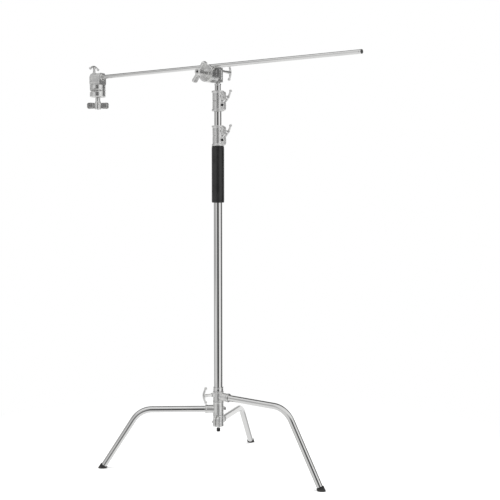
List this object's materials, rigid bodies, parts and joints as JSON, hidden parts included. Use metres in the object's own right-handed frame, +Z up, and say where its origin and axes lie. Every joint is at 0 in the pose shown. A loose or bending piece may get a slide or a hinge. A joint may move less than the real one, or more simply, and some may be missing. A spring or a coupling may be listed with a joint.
{
  "type": "c-stand with grip heads and boom arm",
  "caption": "Telescoping studio stand on a sliding-leg base, with grip heads and a boom arm that holds a light or flag out to the side.",
  "frame": {"origin": "on the ground, under the middle of the whole stand's box at rest, so the column's axis stands at x -18.8 mm, y -112.9 mm", "axes": "+Z up along the column, +X along the boom arm towards its load end, which is also the way the sliding leg points at rest"},
  "size_m": [1.295, 0.7199, 1.6604],
  "materials": {
    "tube_steel": "polished",
    "satin_casting": "satin",
    "handle_casting": "satin",
    "bright_steel": "polished",
    "dark_steel": "satin",
    "grip_foam": "matte",
    "black_rubber": "matte",
    "nylon": "matte",
    "spring_steel": "satin"
  },
  "bodies": {
    "base": {"base_column": "tube_steel", "column_end_plug": "nylon", "bumper_screw": "bright_steel", "rubber_bumper": "black_rubber", "hand_grip": "grip_foam", "lower_collar": "satin_casting", "lower_collar_fixing_bolt": "dark_steel", "lower_collar_fixing_nut": "bright_steel", "lower_collar_clamp_nut": "bright_steel", "low_leg_casting": "satin_casting", "low_leg_clamp_bolt": "bright_steel", "low_leg_clamp_nut": "bright_steel", "low_leg_tube": "tube_steel", "low_leg_foot": "black_rubber"},
    "middle_leg": {"middle_leg_casting": "satin_casting", "middle_leg_tube": "tube_steel", "middle_leg_foot": "black_rubber", "middle_leg_hex_bolt": "bright_steel"},
    "slide_ring": {"slide_ring": "bright_steel"},
    "top_leg": {"top_leg_casting": "satin_casting", "top_leg_tube": "tube_steel", "top_leg_foot": "black_rubber"},
    "base_t_handle": {"base_t_handle": "handle_casting"},
    "lower_collar_t_handle": {"lower_collar_t_handle": "handle_casting"},
    "riser_2": {"riser_2_tube": "tube_steel", "riser_2_end_guide": "nylon", "upper_collar": "satin_casting", "upper_collar_fixing_bolt": "dark_steel", "upper_collar_fixing_nut": "bright_steel", "upper_collar_clamp_nut": "bright_steel"},
    "upper_collar_t_handle": {"upper_collar_t_handle": "handle_casting"},
    "riser_1": {"riser_1_tube": "tube_steel", "riser_1_end_guide": "nylon", "baby_stud": "bright_steel"},
    "stand_head": {"stand_head_receiver": "satin_casting", "stand_head_main_stud": "bright_steel"},
    "stand_head_set_screw": {"stand_head_set_screw": "handle_casting"},
    "stand_head_jaws": {"stand_head_inner_jaw": "satin_casting", "stand_head_jaw_spring": "spring_steel"},
    "stand_head_outer_jaw": {"stand_head_outer_jaw": "satin_casting", "stand_head_thrust_washer": "bright_steel"},
    "stand_head_t_handle": {"stand_head_t_handle": "handle_casting", "stand_head_retaining_screw": "dark_steel"},
    "boom_arm": {"boom_arm": "tube_steel", "boom_arm_end_plug": "nylon"},
    "arm_head": {"arm_head_receiver": "satin_casting", "arm_head_main_stud": "bright_steel"},
    "arm_head_set_screw": {"arm_head_set_screw": "handle_casting"},
    "arm_head_jaws": {"arm_head_inner_jaw": "satin_casting", "arm_head_jaw_spring": "spring_steel"},
    "arm_head_outer_jaw": {"arm_head_outer_jaw": "satin_casting", "arm_head_thrust_washer": "bright_steel"},
    "arm_head_t_handle": {"arm_head_t_handle": "handle_casting", "arm_head_retaining_screw": "dark_steel"}
  },
  "joints": [
    {"name": "middle_leg_swing", "type": "hinge", "parent": "base", "child": "middle_leg", "pos_m": [-0.0188, -0.1129, 0.2295], "axis": [0, 0, 1], "range_deg": [-95, 19]},
    {"name": "top_leg_slide", "type": "slide", "parent": "base", "child": "slide_ring", "axis": [0, 0, 1], "range_m": [0, 0.45]},
    {"name": "top_leg_swing", "type": "hinge", "parent": "slide_ring", "child": "top_leg", "pos_m": [-0.0188, -0.1129, 0.303], "axis": [0, 0, 1], "range_deg": [-12, 102]},
    {"name": "base_t_handle_turn", "type": "hinge", "parent": "top_leg", "child": "base_t_handle", "pos_m": [-0.0188, -0.1129, 0.311], "axis": [-0.4384, -0.8988, 0], "continuous": true},
    {"name": "lower_collar_t_handle_turn", "type": "hinge", "parent": "base", "child": "lower_collar_t_handle", "pos_m": [0.00517, -0.10781, 1.362], "axis": [-0.2079, 0.9781, 0], "continuous": true},
    {"name": "riser_2_slide", "type": "slide", "parent": "base", "child": "riser_2", "axis": [0, 0, 1], "range_m": [-0.045, 0.85]},
    {"name": "upper_collar_t_handle_turn", "type": "hinge", "parent": "riser_2", "child": "upper_collar_t_handle", "pos_m": [0.00517, -0.10781, 1.499], "axis": [-0.2079, 0.9781, 0], "continuous": true},
    {"name": "riser_1_slide", "type": "slide", "parent": "riser_2", "child": "riser_1", "axis": [0, 0, 1], "range_m": [0, 0.85]},
    {"name": "stand_head_swivel", "type": "hinge", "parent": "riser_1", "child": "stand_head", "pos_m": [-0.0188, -0.1129, 1.582], "axis": [0, 0, 1], "continuous": true},
    {"name": "stand_head_set_screw_turn", "type": "hinge", "parent": "stand_head", "child": "stand_head_set_screw", "pos_m": [-0.0188, -0.0629, 1.602], "axis": [0, 1, 0], "continuous": true},
    {"name": "boom_tilt", "type": "hinge", "parent": "stand_head", "child": "stand_head_jaws", "pos_m": [-0.0188, -0.1129, 1.582], "axis": [0, -1, 0], "range_deg": [-75, 45]},
    {"name": "stand_head_jaw_open", "type": "slide", "parent": "stand_head_jaws", "child": "stand_head_outer_jaw", "axis": [0, -1, 0], "range_m": [0, 0.00525]},
    {"name": "stand_head_t_handle_turn", "type": "hinge", "parent": "stand_head_outer_jaw", "child": "stand_head_t_handle", "pos_m": [-0.0188, -0.2319, 1.582], "axis": [0, -1, 0], "range_deg": [0, 1081]},
    {"name": "boom_slide", "type": "slide", "parent": "stand_head_jaws", "child": "boom_arm", "axis": [1, 0, 0], "range_m": [-0.35, 0.3]},
    {"name": "arm_head_roll", "type": "hinge", "parent": "boom_arm", "child": "arm_head", "pos_m": [-0.6068, -0.1699, 1.61], "axis": [1, 0, 0], "continuous": true},
    {"name": "arm_head_set_screw_turn", "type": "hinge", "parent": "arm_head", "child": "arm_head_set_screw", "pos_m": [-0.6268, -0.1699, 1.64], "axis": [0, 0, 1], "continuous": true},
    {"name": "arm_head_jaw_turn", "type": "hinge", "parent": "arm_head", "child": "arm_head_jaws", "pos_m": [-0.6068, -0.1699, 1.61], "axis": [0, 0, -1], "continuous": true},
    {"name": "arm_head_jaw_open", "type": "slide", "parent": "arm_head_jaws", "child": "arm_head_outer_jaw", "axis": [0, 0, -1], "range_m": [0, 0.00525]},
    {"name": "arm_head_t_handle_turn", "type": "hinge", "parent": "arm_head_outer_jaw", "child": "arm_head_t_handle", "pos_m": [-0.6068, -0.1699, 1.491], "axis": [0, 0, -1], "range_deg": [0, 1081]}
  ],
  "couplings": [
    {"joint": "stand_head_t_handle_turn", "follows": "stand_head_jaw_open", "rad_per_m": 3590.4},
    {"joint": "arm_head_t_handle_turn", "follows": "arm_head_jaw_open", "rad_per_m": 3590.4}
  ]
}
